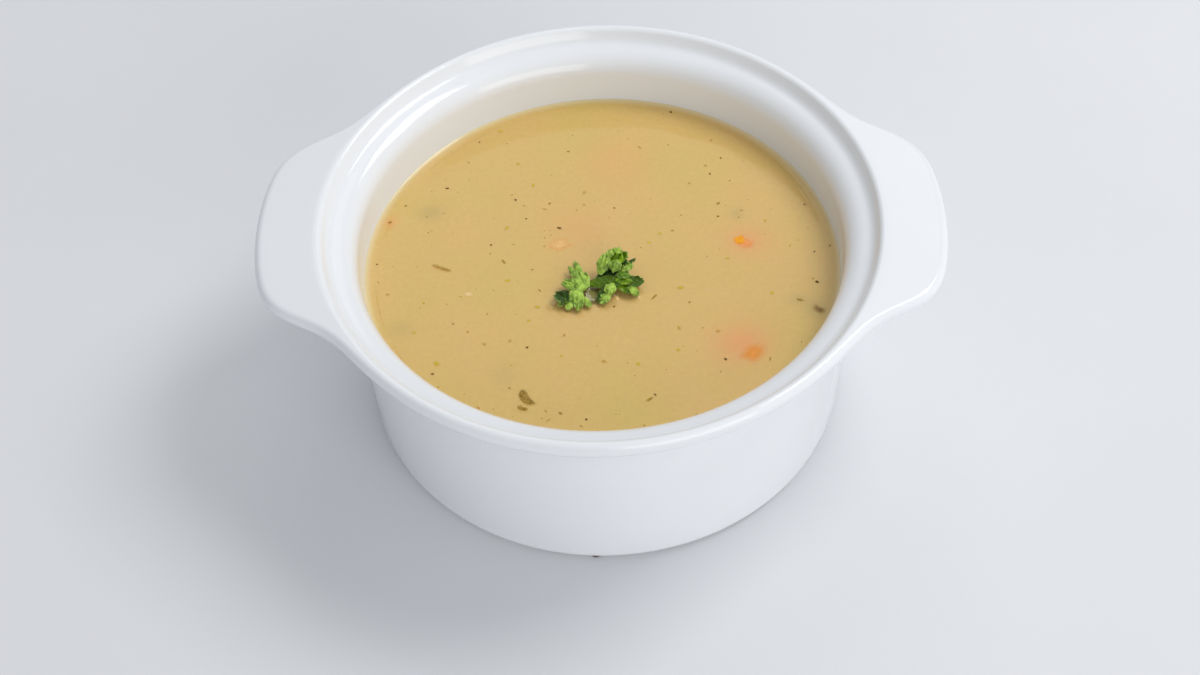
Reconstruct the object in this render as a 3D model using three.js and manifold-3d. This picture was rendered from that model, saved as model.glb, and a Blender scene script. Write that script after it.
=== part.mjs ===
// A round soup bowl with two flat side handles, the cream soup in it and a sprig of curly parsley on top.
// Millimetres, +Z up. The origin is the centre of the foot, on the table, and the handles lie along X.

import * as THREE from 'three';
import { mergeVertices } from 'three/addons/utils/BufferGeometryUtils.js';
import Module from 'manifold-3d';

const wasm = await Module();
wasm.setup();

// The bowl's outside
const rimHeight = 55;
const rimRadius = 66.1;
const rimThickness = 4.1;
const rimEdgeWidth = 1.4;
const rimEdgeDrop = 2;
const rimEdgeStart = 86;
const rimEdgeEnd = -50;
const wallTopRadius = 58.7;
const wallTopHeight = 41.5;
const wallFootRadius = 56.5;
const flareWidth = 1.4;
const flareDrop = 6.6;
const footRounding = 2.8;
const footRingWidth = 3.6;
const footRecess = 1.3;

// The two handles are the rim drawn outwards at each end of X
const handleReach = 78.9;
const handleHalfAngle = 22.8;
const handleSquareness = 7;
const handleFall = 0.9;
const handleThickness = 5.2;
const handleEdgeWidth = 2;
const handleFlareWidth = 2;
const handleFlareDrop = 1;

// The bowl's inside, with the ledge and step that once took a lid
const floorHeight = 5.2;
const floorRadius = 41.5;
const cornerRadius = 12;
const innerWallRadius = 56;
const innerWallLean = 5.2;
const shoulderRadius = 5.5;
const shoulderHeight = 46.3;
const shoulderEnd = 104;
const stepFootRadius = 62.1;
const stepFootHeight = 52.1;
const crownRadius = 1.4;
const crownInset = 2.6;
const crownStart = 158;
const crownEnd = 92;
const topShare = 0.5;
const topFallShare = 0.4;

// The soup
const gap = 0.3;
const soupLevel = 38.7;
const meniscusWidth = 2.6;
const meniscusRise = 0.6;
const meniscusBendWidth = 0.3;
const meniscusBendRise = 0.4;
const bitSunkShare = 0.4;

// The parsley
const leafThickness = 0.5;
const lobeRows = 5;
const lobeColumns = 4;

// How finely round shapes are split
const handleStep = 3;
const rimStep = 6;
const handleSector = 42;
const soupSides = 60;
const bitSides = 9;
const bitRows = 6;

const radians = THREE.MathUtils.degToRad;
const lerp = THREE.MathUtils.lerp;

// Points of an elliptic arc in the (radius, height) plane, both ends included.
function arc(r, z, sizeR, sizeZ, from, to, steps) {
  const points = [];
  for (let i = 0; i <= steps; i++) {
    const angle = radians(lerp(from, to, i / steps));
    points.push([r + sizeR * Math.cos(angle), z + sizeZ * Math.sin(angle)]);
  }
  return points;
}

// How much of the handle shows at an azimuth: 1 at its middle, 0.5 at its half angle, 0 well past it.
function handleWeight(azimuth) {
  const folded = azimuth % 180;
  const away = Math.min(folded, 180 - folded);
  return 1 / (1 + Math.pow(away / handleHalfAngle, handleSquareness));
}

// The floor and its rounded corner up to the foot of the leaning wall, raised and narrowed by an offset.
function insideSection(offset) {
  const radius = cornerRadius - offset;
  return [
    [0, floorHeight + offset],
    ...arc(floorRadius, floorHeight + cornerRadius, radius, radius, -90, -innerWallLean, 5),
  ];
}

// The hollow curve below the rim, from its outer edge back to the upright wall.
function undersideSection(edge, edgeTop, handle) {
  const thickness = lerp(rimThickness, handleThickness, handle);
  const curve = new THREE.QuadraticBezierCurve(
    new THREE.Vector2(edge - gap, edgeTop - thickness),
    new THREE.Vector2(
      wallTopRadius + flareWidth + handle * handleFlareWidth,
      rimHeight - flareDrop - handle * handleFlareDrop,
    ),
    new THREE.Vector2(wallTopRadius, wallTopHeight - handle * handleFlareDrop),
  );
  return curve.getPoints(5).map((point) => [point.x, point.y]);
}

// One half section of the bowl, from the axis inside to the axis below.
function bowlSection(azimuth) {
  const handle = handleWeight(azimuth);
  const edgeTop = rimHeight - handle * handleFall;
  const edgeWidth = lerp(rimEdgeWidth, handleEdgeWidth, handle);
  const edge = lerp(rimRadius, handleReach, handle) - edgeWidth;
  const crown = stepFootRadius + crownInset;
  const shoulder = innerWallRadius + shoulderRadius;
  const footRing = wallFootRadius - footRounding;
  return [
    ...insideSection(0),
    ...arc(shoulder, shoulderHeight, shoulderRadius, shoulderRadius, 180 - innerWallLean, shoulderEnd, 5),
    [stepFootRadius, stepFootHeight],
    ...arc(crown, rimHeight - crownRadius, crownRadius, crownRadius, crownStart, crownEnd, 3),
    [lerp(crown, edge, topShare), lerp(rimHeight, edgeTop, topFallShare)],
    ...arc(edge, edgeTop - rimEdgeDrop, edgeWidth, rimEdgeDrop, rimEdgeStart, rimEdgeEnd, 5),
    ...undersideSection(edge, edgeTop, handle),
    ...arc(footRing, footRounding, footRounding, footRounding, 0, -90, 3),
    [footRing - footRingWidth, 0],
    [footRing - footRingWidth - footRecess, footRecess],
    [0, footRecess],
  ];
}

// Azimuths round the bowl, close together where a handle's outline bends.
function azimuths() {
  const list = [];
  let angle = 0;
  while (angle < 360) {
    list.push(angle);
    const folded = angle % 180;
    const inHandle = folded < handleSector || folded >= 180 - handleSector;
    angle += inHandle ? handleStep : rimStep;
  }
  return list;
}

// A closed shell from one half section per azimuth. Every section starts and ends on the axis.
function sweptShell(sectionAt, angles) {
  const sections = angles.map(sectionAt);
  const inner = sections[0].length - 2;
  const positions = [0, 0, sections[0][0][1]];
  for (const [i, section] of sections.entries()) {
    const angle = radians(angles[i]);
    for (const [r, z] of section.slice(1, -1)) {
      positions.push(r * Math.cos(angle), r * Math.sin(angle), z);
    }
  }
  positions.push(0, 0, sections[0][inner + 1][1]);
  const last = positions.length / 3 - 1;
  const indices = [];
  for (let i = 0; i < sections.length; i++) {
    const here = 1 + i * inner;
    const next = 1 + ((i + 1) % sections.length) * inner;
    indices.push(0, here, next);
    for (let j = 0; j < inner - 1; j++) {
      indices.push(here + j, here + j + 1, next + j);
      indices.push(next + j, here + j + 1, next + j + 1);
    }
    indices.push(here + inner - 1, last, next + inner - 1);
  }
  const geometry = new THREE.BufferGeometry();
  geometry.setAttribute('position', new THREE.Float32BufferAttribute(positions, 3));
  geometry.setIndex(indices);
  return geometry;
}

// Vertices closer than this are one.
const mergeDistance = 1e-3;

function toManifold(geometry) {
  const bare = geometry.clone();
  bare.deleteAttribute('normal');
  bare.deleteAttribute('uv');
  const merged = mergeVertices(bare, mergeDistance);
  return new wasm.Manifold(new wasm.Mesh({
    numProp: 3,
    vertProperties: new Float32Array(merged.attributes.position.array),
    triVerts: new Uint32Array(merged.index.array),
  }));
}

function fromManifold(solid) {
  const mesh = solid.getMesh();
  const geometry = new THREE.BufferGeometry();
  geometry.setAttribute('position', new THREE.BufferAttribute(new Float32Array(mesh.vertProperties), 3));
  geometry.setIndex(new THREE.BufferAttribute(new Uint32Array(mesh.triVerts), 1));
  return geometry;
}

// The soup fills the inside up to its level, a gap clear of the wall, and climbs a little at its edge.
function soupBody() {
  const top = soupLevel + meniscusRise;
  const edge = innerWallRadius - (shoulderHeight - top) * Math.tan(radians(innerWallLean)) - gap;
  const profile = [
    ...insideSection(gap),
    [edge, top],
    [edge - meniscusWidth * meniscusBendWidth, soupLevel + meniscusRise * meniscusBendRise],
    [edge - meniscusWidth, soupLevel],
    [0, soupLevel],
  ];
  const points = profile.map(([r, z]) => new THREE.Vector2(r, z));
  return new THREE.LatheGeometry(points, soupSides).rotateX(Math.PI / 2);
}

// Each bit floats half sunk: its place, its length, width and height, and the way it points.
const floatingBits = [
  { name: 'herb stalk', x: -37.5, y: 0, length: 5.6, width: 1.0, height: 0.8, heading: -26 },
  { name: 'herb leaf', x: -17.0, y: -39.3, length: 5.6, width: 2.6, height: 0.7, heading: -62 },
  { name: 'herb crumb', x: -17.6, y: -42.2, length: 2.8, width: 1.1, height: 0.7, heading: -15 },
  { name: 'carrot dice', x: 32.5, y: 7.1, length: 2.4, width: 2.2, height: 1.1, heading: 20 },
  { name: 'sunk carrot', x: 33.6, y: -26.5, length: 4.2, width: 3.4, height: 0.5, heading: 70 },
  { name: 'pale strip', x: -10.0, y: 7.6, length: 6.6, width: 2.4, height: 0.5, heading: 28 },
  { name: 'brown fleck', x: 49.6, y: -14.8, length: 2.6, width: 1.7, height: 0.5, heading: -35 },
];

function bit({ x, y, length, width, height, heading }) {
  const geometry = new THREE.SphereGeometry(0.5, bitSides, bitRows);
  geometry.scale(length, height, width);
  geometry.rotateX(Math.PI / 2);
  geometry.rotateZ(radians(heading));
  geometry.translate(x, y, soupLevel + height * (0.5 - bitSunkShare));
  return toManifold(geometry);
}

function soup() {
  let solid = toManifold(soupBody());
  for (const entry of floatingBits) solid = solid.add(bit(entry));
  return fromManifold(solid);
}

// The sprig's lobes. Each runs from its root to its tip, given from the axis and from the soup's surface.
// It arches over its line by an angle, leans to one side by roll, has its sides bent up by cup, and has
// its end gathered into pleats where it has more than one.
const lobes = {
  'left finger': {
    root: [-4.0, -6.3, 2.2], tip: [-6.5, 0.2, 1.6], width: 1.25, arch: 22, roll: 30, cup: -80,
  },
  'left finger below': {
    root: [-4.8, -7.6, 2.3], tip: [-7.55, -1.5, 1.7], width: 1.35, arch: 20, roll: 10, cup: -80,
  },
  'ribbed lobe': {
    root: [-4.4, -9.2, 2.5], tip: [-9.3, -6.3, 1.8], width: 3.2, arch: 26, cup: -30, pleats: 3,
  },
  'small ribbed lobe': {
    root: [-4.2, -8.4, 2.7], tip: [-7.0, -6.3, 2.7], width: 1.8, arch: 30, cup: -60,
  },
  'left neck': {
    root: [-3.3, -5.9, 1.7], tip: [-5.4, -10.3, 2.8], width: 3.4, arch: 30, cup: -60, pleats: 2,
  },
  'cupped lobe': {
    root: [-6.4, -11.2, 1.7], tip: [-11.6, -10.8, 2.2], width: 4.2, arch: -60, roll: -14, cup: 90, pleats: 2,
  },
  'outer toe': {
    root: [-8.2, -11.4, 1.2], tip: [-9.9, -13.2, 0.9], width: 1.6, arch: 50, cup: -60,
  },
  'inner toe': {
    root: [-6.6, -11.6, 1.6], tip: [-8.0, -14.3, 0.8], width: 2.0, arch: 60, cup: -70,
  },
  'bulging lobe': {
    root: [-4.8, -9.2, 2.5], tip: [-7.4, -12.4, 1.7], width: 2.8, arch: 80, cup: -90, pleats: 2,
  },
  'front lobe': {
    root: [-4.8, -9.6, 2.7], tip: [-5.5, -14.9, 0.8], width: 2.4, arch: 40, cup: -50, pleats: 2,
  },
  'pale toe': {
    root: [-4.1, -11.0, 1.5], tip: [-2.6, -13.4, 0.7], width: 1.7, arch: 40, cup: -50,
  },
  'right blade': {
    root: [-3.3, -6.5, 1.3], tip: [5.6, -6.9, 2.5], width: 4.0, arch: 26, roll: -14, cup: -36,
  },
  'right tip': {
    root: [4.2, -6.9, 2.5], tip: [10.1, -7.0, 1.9], width: 3.3, arch: -30, cup: 80, pleats: 2,
  },
  'lower right lobe': {
    root: [2.8, -7.7, 2.3], tip: [8.5, -10.4, 1.5], width: 2.7, arch: 26, cup: -50, pleats: 2,
  },
  'lower right curl': {
    root: [6.2, -8.9, 2.2], tip: [8.3, -10.9, 1.1], width: 2.1, arch: 120, cup: -90,
  },
  'dark hollow': {
    root: [-0.6, -5.8, 1.7], tip: [4.1, -2.9, 3.2], width: 4.6, arch: -44, cup: 40, pleats: 2,
  },
  'back left lobe': {
    root: [-0.5, -4.9, 2.3], tip: [1.2, -1.1, 5.8], width: 2.7, arch: 30, roll: 16, cup: -50, pleats: 2,
  },
  'back lobe': {
    root: [2.2, -3.6, 3.7], tip: [4.0, -0.5, 6.3], width: 4.6, arch: -40, cup: 50, pleats: 3,
  },
  'back ear': {
    root: [4.1, -3.0, 4.0], tip: [5.9, -1.0, 5.8], width: 2.2, arch: -40, roll: 10, cup: 60,
  },
  'folded lobe': {
    root: [3.8, -2.9, 4.9], tip: [2.7, -5.7, 3.8], width: 3.4, arch: 120, cup: -60, pleats: 2,
  },
  'dark side lobe': {
    root: [3.4, -4.6, 2.9], tip: [5.8, -2.4, 5.1], width: 2.4, arch: -30, cup: 40,
  },
  'side curl': {
    root: [4.6, -4.9, 3.5], tip: [7.5, -3.7, 4.2], width: 2.4, arch: 70, cup: -60, pleats: 2,
  },
  'side ear': {
    root: [5.4, -4.1, 3.6], tip: [7.9, -1.8, 4.2], width: 1.6, arch: 20, roll: 30, cup: -30,
  },
  'middle lobe': {
    root: [3.4, -5.6, 3.1], tip: [6.8, -6.6, 3.4], width: 2.8, arch: 60, cup: -50, pleats: 2,
  },
  'drooping curl': {
    root: [2.6, -7.8, 2.5], tip: [1.5, -10.8, 1.5], width: 3.0, arch: 90, cup: -60, pleats: 2,
  },
  'drooping foot': {
    root: [2.0, -9.9, 1.6], tip: [-0.3, -12.6, 0.7], width: 2.6, arch: 60, cup: -60, pleats: 2,
  },
  'dark foot': {
    root: [0.6, -8.0, 1.9], tip: [-0.8, -12.2, 0.7], width: 1.5, arch: 20, cup: -30,
  },
};

// A lobe widens to its full width over most of its length and narrows a little at its blunt end.
const rootShare = 0.32;
const fullWidthAt = 0.7;
const endNarrowing = 0.12;

// The end is rounded off towards its sides and notched between its pleats, and the sides are ruffled.
const endRounding = 0.26;
const notchDepth = 0.07;
const pleatHeight = 0.14;
const ruffleHeight = 0.13;
const ruffleWaves = 10;
const frillHeight = 0.05;
const frillWaves = 7;
const sidePhase = 2.5;
const rootPhase = 3;

// The directions of a lobe: along its line, to its side, and up out of its face.
function lobeAxes({ root, tip, roll = 0 }) {
  const start = new THREE.Vector3(...root);
  const along = new THREE.Vector3(...tip).sub(start);
  const reach = along.length();
  along.normalize();
  const side = new THREE.Vector3().crossVectors(along, new THREE.Vector3(0, 0, 1)).normalize();
  side.applyAxisAngle(along, -radians(roll));
  const lift = new THREE.Vector3().crossVectors(side, along);
  start.z += soupLevel;
  return { start, along, side, lift, reach };
}

// A point of a lobe's middle surface, u from 0 at its root to 1 at its tip and v from -1 to 1 across it.
function lobePoint(lobe, axes, u, v) {
  const { start, along, side, lift, reach } = axes;
  const { root, width, arch, cup, pleats = 1 } = lobe;
  const pleatWave = pleats > 1 ? Math.cos(Math.PI * pleats * (v + 2)) : 1;
  const share = u * (1 - endRounding * Math.abs(v) ** 3 - notchDepth * (1 - pleatWave));
  const halfArch = radians(arch) / 2;
  const turn = halfArch * (2 * share - 1);
  const arcRadius = reach / (2 * Math.sin(halfArch));
  const widening = (1 - rootShare) * Math.sin(0.5 * Math.PI * Math.min(u / fullWidthAt, 1));
  const narrowing = endNarrowing * Math.max(u - fullWidthAt, 0) / (1 - fullWidthAt);
  const half = 0.5 * width * (rootShare + widening - narrowing);
  const bend = radians(cup) / 2;
  const dish = half / bend * (1 - Math.cos(bend * v));
  const pleat = pleats > 1 ? pleatHeight * half * u * pleatWave : 0;
  const phase = sidePhase * Math.sign(v) + rootPhase * root[0];
  const ruffle = ruffleHeight * width * u ** 1.5 * v * v * Math.sin(ruffleWaves * u + phase);
  const frill = frillHeight * width * u ** 4 * Math.sin(frillWaves * v + rootPhase * root[1]);
  const rise = dish + pleat + ruffle + frill;
  const forward = arcRadius * (Math.sin(turn) + Math.sin(halfArch)) + rise * Math.sin(turn);
  const upward = arcRadius * (Math.cos(turn) - Math.cos(halfArch)) + rise * Math.cos(turn);
  const point = start.clone().addScaledVector(along, forward).addScaledVector(lift, upward);
  point.addScaledVector(side, half / bend * Math.sin(bend * v));
  point.z = Math.max(point.z, soupLevel + gap + leafThickness / 2);
  return point;
}

// The direction straight out of a lobe's face at a point.
function lobeNormal(lobe, axes, u, v) {
  const nudge = 0.01;
  const point = lobePoint(lobe, axes, u, v);
  const onward = lobePoint(lobe, axes, u + nudge, v).sub(point);
  const across = lobePoint(lobe, axes, u, v + nudge).sub(point);
  return across.cross(onward).normalize();
}

// A lobe is a thin solid: its middle surface moved half the leaf's thickness to either side.
function lobeSolid(lobe) {
  const axes = lobeAxes(lobe);
  const columns = lobeColumns + 1;
  const positions = [];
  for (const face of [0.5, -0.5]) {
    for (let i = 0; i <= lobeRows; i++) {
      for (let j = 0; j < columns; j++) {
        const u = i / lobeRows;
        const v = (2 * j) / lobeColumns - 1;
        const point = lobePoint(lobe, axes, u, v);
        point.addScaledVector(lobeNormal(lobe, axes, u, v), face * leafThickness);
        positions.push(point.x, point.y, Math.max(point.z, soupLevel + gap));
      }
    }
  }
  const layer = (lobeRows + 1) * columns;
  const indices = [];
  const quad = (a, b, c, d) => indices.push(a, b, c, a, c, d);
  for (let i = 0; i < lobeRows; i++) {
    for (let j = 0; j < lobeColumns; j++) {
      const a = i * columns + j;
      quad(a, a + 1, a + columns + 1, a + columns);
      quad(layer + a, layer + a + columns, layer + a + columns + 1, layer + a + 1);
    }
  }
  for (let i = 0; i < lobeRows; i++) {
    const near = i * columns;
    const far = near + lobeColumns;
    quad(near, near + columns, layer + near + columns, layer + near);
    quad(far, layer + far, layer + far + columns, far + columns);
  }
  for (let j = 0; j < lobeColumns; j++) {
    const tip = lobeRows * columns + j;
    quad(j, layer + j, layer + j + 1, j + 1);
    quad(tip, tip + 1, layer + tip + 1, layer + tip);
  }
  const geometry = new THREE.BufferGeometry();
  geometry.setAttribute('position', new THREE.Float32BufferAttribute(positions, 3));
  geometry.setIndex(indices);
  return toManifold(geometry);
}

// Where fused lobes seal a hollow, its shell is dropped, which leaves the one outer skin of the sprig.
// The vertices are merged first, because a hollow's shell can touch the skin at a point.
function outerSkin(solid) {
  const shells = toManifold(fromManifold(solid)).decompose();
  return shells.reduce((largest, shell) => (shell.volume() > largest.volume() ? shell : largest));
}

function parsley() {
  const solids = Object.values(lobes).map(lobeSolid);
  return fromManifold(outerSkin(solids.reduce((joined, solid) => joined.add(solid))));
}

const porcelain = new THREE.MeshStandardMaterial({ color: 0xf3f4f3, roughness: 0.12, metalness: 0 });
const creamSoup = new THREE.MeshStandardMaterial({ color: 0xd4b578, roughness: 0.35, metalness: 0 });
const greenLeaf = new THREE.MeshStandardMaterial({ color: 0x5f9a1e, roughness: 0.5, metalness: 0 });

function named(name, geometry, material) {
  const mesh = new THREE.Mesh(geometry, material);
  mesh.name = name;
  return mesh;
}

const soupBowl = new THREE.Group();
soupBowl.add(named('bowl', sweptShell(bowlSection, azimuths()), porcelain));
soupBowl.add(named('soup', soup(), creamSoup));
soupBowl.add(named('parsley_sprig', parsley(), greenLeaf));

export default soupBowl;
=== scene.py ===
import bpy
import numpy as np
from mathutils import Matrix


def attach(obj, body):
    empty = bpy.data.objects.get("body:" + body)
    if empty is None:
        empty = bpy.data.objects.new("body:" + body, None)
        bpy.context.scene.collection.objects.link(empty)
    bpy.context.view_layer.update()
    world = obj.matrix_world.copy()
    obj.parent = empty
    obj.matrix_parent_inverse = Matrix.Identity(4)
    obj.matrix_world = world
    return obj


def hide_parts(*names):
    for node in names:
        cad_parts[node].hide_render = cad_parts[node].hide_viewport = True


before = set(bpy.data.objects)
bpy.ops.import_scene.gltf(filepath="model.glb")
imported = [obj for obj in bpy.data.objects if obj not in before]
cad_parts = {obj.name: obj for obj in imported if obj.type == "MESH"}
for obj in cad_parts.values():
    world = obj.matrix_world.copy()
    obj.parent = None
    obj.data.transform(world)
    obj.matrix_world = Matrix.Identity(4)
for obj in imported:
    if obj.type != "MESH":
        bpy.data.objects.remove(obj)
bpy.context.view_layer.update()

# The studio: the camera stands where the photograph was taken, above and in front of the bowl. One soft
# window shines from the back right, a wider one leaves a sheen on the soup, and a bright wall fills.
MM = 0.001
CAMERA_PLACE = (11.389, -343.623, 420.160)
CAMERA_RIGHT = (0.999541, 0.000717, -0.030296)
CAMERA_UP = (0.018974, 0.764694, 0.644411)
CAMERA_BACK = (0.023629, -0.644393, 0.764329)
LENS = 66.0
SENSOR_WIDTH = 36.0
SKY_COLOUR = (246, 249, 255)
SKY_STRENGTH = 0.5
TABLE_COLOUR = (226, 227, 229)
MOTTLE = 2
TABLE_HALF = 1500.0


def srgb(red, green, blue):
    """Screen colour from 0 to 255 made linear: the power 2.4 curve above its short straight toe."""
    share = np.array([red, green, blue]) / 255.0
    linear = np.where(share <= 0.04045, share / 12.92, ((share + 0.055) / 1.055) ** 2.4)
    return (*(float(value) for value in linear), 1.0)


def new_material(name):
    """A new node material, its node tree and its Principled shader."""
    material = bpy.data.materials.new(name)
    material.use_nodes = True
    return material, material.node_tree, material.node_tree.nodes["Principled BSDF"]


def set_inputs(tree, node, values):
    """Sets a node's inputs by name or number: another node's output is linked, a plain value is set."""
    for name, value in values.items():
        if isinstance(value, bpy.types.NodeSocket):
            tree.links.new(value, node.inputs[name])
        else:
            node.inputs[name].default_value = value


def add_node(tree, kind, values):
    """A new shader node of that kind with its inputs set."""
    made = tree.nodes.new(kind)
    set_inputs(tree, made, values)
    return made


def noise(tree, scale, detail):
    """The value of smooth noise in the object's own coordinates, scale in waves per metre."""
    place = tree.nodes.new("ShaderNodeTexCoord").outputs["Object"]
    settings = {"Vector": place, "Scale": scale, "Detail": detail}
    return add_node(tree, "ShaderNodeTexNoise", settings).outputs["Fac"]


def ranged(tree, value, low, high, to_low=0.0, to_high=1.0):
    """The value stretched so that low gives to_low and high gives to_high, held at both ends."""
    settings = {"Value": value, "From Min": low, "From Max": high, "To Min": to_low, "To Max": to_high}
    return add_node(tree, "ShaderNodeMapRange", settings).outputs["Result"]


def mixed(tree, share, low, high):
    """Two colours, each a socket or a screen colour, mixed: low where share is 0, high where it is 1."""
    made = tree.nodes.new("ShaderNodeMix")
    made.data_type = "RGBA"
    low, high = (srgb(*end) if isinstance(end, tuple) else end for end in (low, high))
    first, second = (number for number, socket in enumerate(made.inputs) if socket.type == "RGBA")
    set_inputs(tree, made, {"Factor": share, first: low, second: high})
    return next(socket for socket in made.outputs if socket.type == "RGBA")


def mottled(tree, share, colour):
    """The colour where share is 1, a little darker where it is 0."""
    return mixed(tree, share, tuple(value - MOTTLE for value in colour), colour)


def mesh_piece(name, points, faces, material):
    """One smooth mesh object at the origin from (n, 3) points in millimetres and lists of faces."""
    mesh = bpy.data.meshes.new(name)
    mesh.from_pydata((np.asarray(points) * MM).tolist(), [], faces)
    mesh.polygons.foreach_set("use_smooth", np.ones(len(mesh.polygons), bool))
    mesh.materials.append(material)
    mesh.update()
    piece = bpy.data.objects.new(name, mesh)
    scene.collection.objects.link(piece)
    return piece


def placed(right, up, back, place):
    """The matrix of a camera or light from its directions and its place in metres."""
    rows = [list(row) for row in zip(right, up, back, place)]
    return Matrix(rows + [[0.0, 0.0, 0.0, 1.0]])


def soft_light(name, azimuth, height, distance, size, power):
    """A square light that faces the origin from an azimuth and a height in degrees."""
    azimuth, height = np.radians(azimuth), np.radians(height)
    away = np.array([np.cos(height) * np.cos(azimuth), np.cos(height) * np.sin(azimuth), np.sin(height)])
    side = np.cross([0.0, 0.0, 1.0], away)
    side /= np.linalg.norm(side)
    data = bpy.data.lights.new(name, "AREA")
    data.shape = "SQUARE"
    data.size = size
    data.energy = power
    light = bpy.data.objects.new(name, data)
    light.matrix_world = placed(side, np.cross(away, side), away, away * distance)
    scene.collection.objects.link(light)


def table():
    """A flat square of pale card at height 0, faintly mottled."""
    material, tree, shader = new_material("table_card")
    grain = ranged(tree, noise(tree, scale=14.0, detail=4.0), 0.3, 0.7)
    set_inputs(tree, shader, {"Base Color": mottled(tree, grain, TABLE_COLOUR), "Roughness": 0.7})
    corners = TABLE_HALF * np.array([[-1, -1, 0], [1, -1, 0], [1, 1, 0], [-1, 1, 0]])
    return mesh_piece("table", corners, [[0, 1, 2, 3]], material)


scene = bpy.context.scene
scene.view_settings.view_transform = "Standard"
scene.view_settings.look = "None"

camera = bpy.data.objects.new("camera", bpy.data.cameras.new("camera"))
camera.data.lens = LENS
camera.data.sensor_width = SENSOR_WIDTH
camera_place = [value * MM for value in CAMERA_PLACE]
camera.matrix_world = placed(CAMERA_RIGHT, CAMERA_UP, CAMERA_BACK, camera_place)
scene.collection.objects.link(camera)
scene.camera = camera

world = bpy.data.worlds.new("sky")
world.use_nodes = True
background = world.node_tree.nodes["Background"]
set_inputs(world.node_tree, background, {"Color": srgb(*SKY_COLOUR), "Strength": SKY_STRENGTH})
scene.world = world

soft_light("window", azimuth=25.0, height=56.0, distance=1.1, size=0.48, power=4.7)
soft_light("back_window", azimuth=84.0, height=50.0, distance=1.6, size=0.9, power=2.5)
soft_light("bright_wall", azimuth=-62.0, height=14.0, distance=1.5, size=1.2, power=10.5)
table()

# The bowl: one cast piece of white porcelain under a thick clear glaze, round with a lid ledge inside
# its rim and two flat handles drawn out of the rim. Its foot ring is bare where it stood in the kiln.
RIM_HEIGHT = 55.0
RIM_RADIUS = 66.1
RIM_THICKNESS = 4.1
RIM_EDGE_WIDTH = 1.4
RIM_EDGE_DROP = 2.0
RIM_EDGE_START = 88.0
RIM_EDGE_END = -50.0
RIM_EDGE_INSET = 0.3
RIM_TOP_GAP = 0.1
RIM_TOP_FALL = 0.06
HANDLE_REACH = 78.9
HANDLE_HALF_ANGLE = 22.8
HANDLE_SQUARENESS = 7
HANDLE_FALL = 0.9
HANDLE_THICKNESS = 5.2
HANDLE_EDGE_WIDTH = 2.0
WALL_TOP_RADIUS = 58.7
WALL_TOP_HEIGHT = 41.5
WALL_FOOT_RADIUS = 56.5
WALL_START = 0.92
WALL_END_OUT = 0.03
WALL_END_UP = 0.6
FLARE_WIDTH = 1.4
FLARE_DROP = 6.6
HANDLE_FLARE_WIDTH = 2.0
HANDLE_FLARE_DROP = 1.0
FOOT_ROUNDING = 2.8
FOOT_OUTER_GAP = 0.3
FOOT_INNER_GAP = 0.2
FOOT_RING_WIDTH = 3.6
FOOT_RECESS = 1.3
RECESS_START = 0.1
RECESS_GAP = 1.0
AXIS_GAP = 1.0
FLOOR_HEIGHT = 5.2
FLOOR_RADIUS = 41.5
FLOOR_GAP = 0.5
CORNER_RADIUS = 12.0
INSIDE_RADIUS = 56.0
INSIDE_LEAN = 5.2
WALL_LOW_GAP = 0.8
WALL_HIGH_GAP = 0.5
SHOULDER_RADIUS = 5.5
SHOULDER_HEIGHT = 46.3
SHOULDER_END = 104.0
STEP_FOOT_RADIUS = 62.1
STEP_FOOT_HEIGHT = 52.1
STEP_CURVE_START = 0.4
STEP_CURVE_END = 0.5
CROWN_RADIUS = 1.4
CROWN_INSET = 2.6
CROWN_START = 158.0
CROWN_END = 92.0
BOWL_SIDES = 360
PORCELAIN = (235, 237, 239)
BARE_CLAY = (226, 221, 208)
BARE_BELOW = 0.2
BARE_ROUGHNESS = 0.8
GLAZED_ABOVE = 0.5
GLAZE_ROUGHNESS = 0.12


def between(low, high, share):
    """The value a share of the way from low to high."""
    return low + (high - low) * share


def part_way(start, end, share):
    """The point, as a radius and a height, a share of the way from start to end."""
    return between(start[0], end[0], share), between(start[1], end[1], share)


def arc_points(r, z, size_r, size_z, start, end, count):
    """Points of an elliptic arc: centre plus size times cosine in radius and sine in height, the angle
    running evenly from start to end. Centre and size may be one value for each azimuth."""
    angle = np.radians(np.linspace(start, end, count))[None, :]
    radius = np.reshape(r, (-1, 1)) + np.reshape(size_r, (-1, 1)) * np.cos(angle)
    height = np.reshape(z, (-1, 1)) + np.reshape(size_z, (-1, 1)) * np.sin(angle)
    return radius, height


def curve_points(start, middle, end, count):
    """Points of a three-point Bezier curve, with the weights (1-t)^2, 2t(1-t) and t^2. Radius and height
    of a point may be one value for each azimuth."""
    t = np.linspace(0, 1, count)[None, :]
    weights = ((1 - t) ** 2, 2 * t * (1 - t), t ** 2)
    points = (start, middle, end)
    radius = sum(weight * np.reshape(point[0], (-1, 1)) for weight, point in zip(weights, points))
    height = sum(weight * np.reshape(point[1], (-1, 1)) for weight, point in zip(weights, points))
    return radius, height


def line_points(start, end, count):
    """Evenly spaced points of a straight line, which is the curve with its control point half way."""
    return curve_points(start, part_way(start, end, 0.5), end, count)


def profile(parts, sides):
    """Joins runs of (radius, height) points into two arrays with one row for each azimuth."""
    radius = np.concatenate([np.broadcast_to(r, (sides, r.shape[1])) for r, _ in parts], axis=1)
    height = np.concatenate([np.broadcast_to(z, (sides, z.shape[1])) for _, z in parts], axis=1)
    return radius, height


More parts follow.
